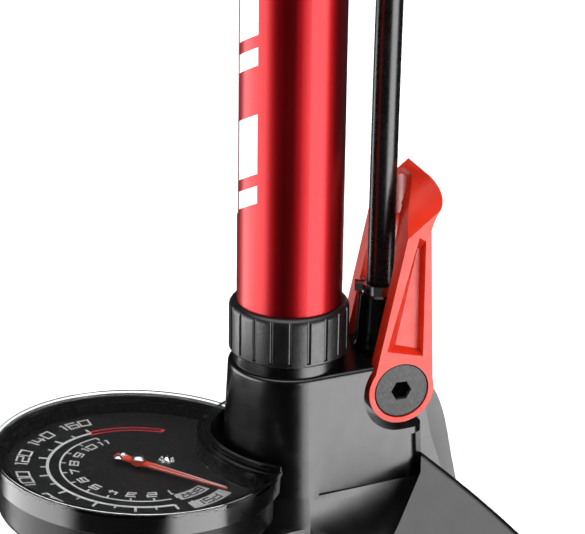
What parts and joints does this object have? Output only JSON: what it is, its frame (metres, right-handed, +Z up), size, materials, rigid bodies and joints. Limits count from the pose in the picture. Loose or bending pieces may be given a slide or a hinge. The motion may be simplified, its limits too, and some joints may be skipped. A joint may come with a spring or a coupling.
{
  "type": "floor bike pump",
  "caption": "Upright floor pump with a barrel, T-handle plunger, base-mounted dial gauge, selector lever and a hose with a docked thumb-lock head.",
  "frame": {"origin": "on the floor under the barrel's axis, at the middle of the base's footprint", "axes": "+Z up along the barrel, -Y towards the gauge, +Y towards the hose and the selector lever"},
  "size_m": [0.264, 0.2038, 0.6615],
  "materials": {
    "base_black": "satin black",
    "foot_rubber": "matt",
    "screw_steel": "zinc",
    "housing_black": "satin, fine grain",
    "collar_black": "grained",
    "barrel_red": "satin red anodised",
    "seal_rubber": "smooth",
    "brass_parts": "machined",
    "spring_steel": "plain",
    "lever_orange": "satin orange-red",
    "shaft_steel": "ground",
    "cap_black": "fine grain",
    "fitting_black": "gloss",
    "clamp_steel": "bright",
    "hose_rubber": "satin",
    "gauge_black": "gloss",
    "lens_clear": "clear",
    "dial_black": "printed",
    "spacer_white": "plain",
    "pointer_red": "gloss",
    "staff_steel": "turned",
    "rod_chrome": "polished",
    "piston_plastic": "acetal",
    "bush_plastic": "acetal",
    "handle_black": "satin",
    "grip_rubber": "textured",
    "head_black": "satin",
    "head_orange": "satin"
  },
  "bodies": {
    "base": {"base_casting": "base_black", "foot_pads": "foot_rubber", "base_screws": "screw_steel", "valve_housing": "housing_black", "collar_nut": "collar_black", "barrel": "barrel_red", "barrel_seal": "seal_rubber", "valve_seat": "brass_parts", "check_spring": "spring_steel", "hose_fitting": "fitting_black", "hose_clamp": "clamp_steel", "hose": "hose_rubber", "hose_clip": "collar_black", "gauge_casing": "gauge_black", "gauge_bezel": "gauge_black", "gauge_lens": "lens_clear", "dial_plate": "dial_black", "dial_spacer": "spacer_white", "movement_plates": "brass_parts", "movement_posts": "brass_parts", "bourdon_tube": "brass_parts", "pressure_inlet": "brass_parts", "gauge_pipe": "brass_parts", "top_cap": "collar_black", "guide_bush": "bush_plastic", "rod_wiper": "seal_rubber", "head_dock": "collar_black", "head_body": "head_black", "head_sleeve": "head_black", "head_nut": "head_orange", "head_seal": "seal_rubber", "head_pin": "shaft_steel"},
    "plunger": {"piston_rod": "rod_chrome", "piston": "piston_plastic", "piston_seal": "seal_rubber", "piston_screw": "screw_steel", "bump_stop": "seal_rubber", "handle_core": "handle_black", "handle_screw": "screw_steel", "left_grip": "grip_rubber", "right_grip": "grip_rubber", "handle_caps": "lever_orange"},
    "lever": {"lever_yoke": "lever_orange", "selector_shaft": "shaft_steel", "shaft_seals": "seal_rubber", "pivot_caps": "cap_black"},
    "needle": {"pointer": "pointer_red", "pointer_staff": "staff_steel", "pointer_pinion": "brass_parts"},
    "sector": {"sector_gear": "brass_parts", "sector_arbor": "shaft_steel"},
    "head_lock": {"head_lever": "lever_orange"},
    "check_valve": {"check_disc": "seal_rubber"}
  },
  "joints": [
    {"name": "plunger_stroke", "type": "slide", "parent": "base", "child": "plunger", "axis": [0, 0, 1], "range_m": [0, 0.45]},
    {"name": "lever_swing", "type": "hinge", "parent": "base", "child": "lever", "pos_m": [0, 0.034, 0.0882], "axis": [-1, 0, 0], "range_deg": [0, 85]},
    {"name": "sector_turn", "type": "hinge", "parent": "base", "child": "sector", "pos_m": [-0.018, -0.05258, 0.0592], "axis": [0, 0.0419, 0.9991], "range_deg": [0, 49], "stiffness_Nm_per_rad": 0.004},
    {"name": "pointer_turn", "type": "hinge", "parent": "base", "child": "needle", "pos_m": [0, -0.05235, 0.0646], "axis": [0, -0.0419, -0.9991], "range_deg": [0, 245]},
    {"name": "head_lock_turn", "type": "hinge", "parent": "base", "child": "head_lock", "pos_m": [-0.04261, 0.0246, 0.276], "axis": [0.5, 0.866, 0], "range_deg": [0, 90]},
    {"name": "check_lift", "type": "slide", "parent": "base", "child": "check_valve", "axis": [0, 0, -1], "range_m": [0, 0.0012], "stiffness_N_per_m": 300, "deforming": ["check_spring"]}
  ],
  "couplings": [
    {"joint": "pointer_turn", "follows": "sector_turn", "ratio": 5}
  ]
}
